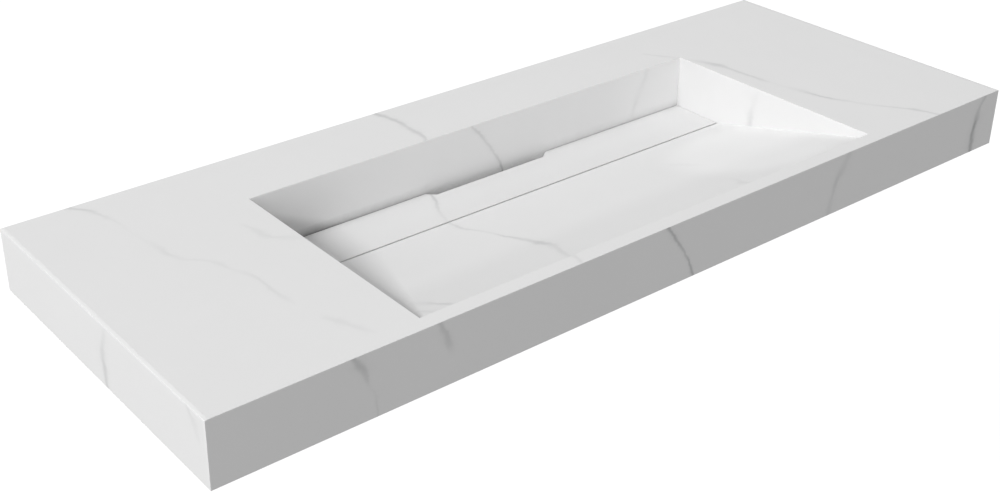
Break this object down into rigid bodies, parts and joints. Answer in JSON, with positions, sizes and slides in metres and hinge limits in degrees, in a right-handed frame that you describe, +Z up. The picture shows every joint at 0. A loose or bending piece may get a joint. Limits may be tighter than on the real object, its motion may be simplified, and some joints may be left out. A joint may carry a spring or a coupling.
{
  "type": "washbasin",
  "caption": "Long wall-hung slab washbasin with a ramp bowl, a lift-out drain cover over a gutter and a grid waste.",
  "frame": {"origin": "centre of the face that lies on the wall, at mid height of the aprons", "axes": "+X to the right seen from the front, +Y into the wall, +Z up"},
  "size_m": [1.2, 0.45, 0.1765],
  "materials": {
    "slab": "satin, fine grey veins",
    "silicone": "matt translucent",
    "seal_rubber": "matt",
    "grid_steel": "brushed",
    "waste_chrome": "polished",
    "plywood": "raw, birch",
    "plate_steel": "zinc plated",
    "nylon": "natural nylon"
  },
  "bodies": {
    "root": {"deck_panel": "slab", "front_apron": "slab", "left_apron": "slab", "right_apron": "slab", "rear_apron": "slab", "basin_back_wall": "slab", "basin_left_wall": "slab", "basin_right_wall": "slab", "basin_ramp": "slab", "trough_front_wall": "slab", "trough_floor": "slab", "left_cover_ledge": "slab", "right_cover_ledge": "slab", "cover_blocks": "slab", "left_deck_rib": "slab", "right_deck_rib": "slab", "left_rear_rib": "slab", "right_rear_rib": "slab", "left_ramp_rib": "slab", "right_ramp_rib": "slab", "left_corner_block": "slab", "right_corner_block": "slab", "rest_pads": "silicone", "waste_upper_seal": "seal_rubber", "waste_lower_seal": "seal_rubber", "waste_grid": "grid_steel", "waste_screw": "grid_steel", "waste_body": "waste_chrome", "rear_rail": "plywood", "fixing_plates": "plate_steel", "fixing_bushes": "nylon"},
    "cover": {"drain_cover": "slab"}
  },
  "joints": [
    {"name": "cover_lift", "type": "slide", "parent": "root", "child": "cover", "axis": [0, 0, 1], "range_m": [0, 0.15]}
  ]
}
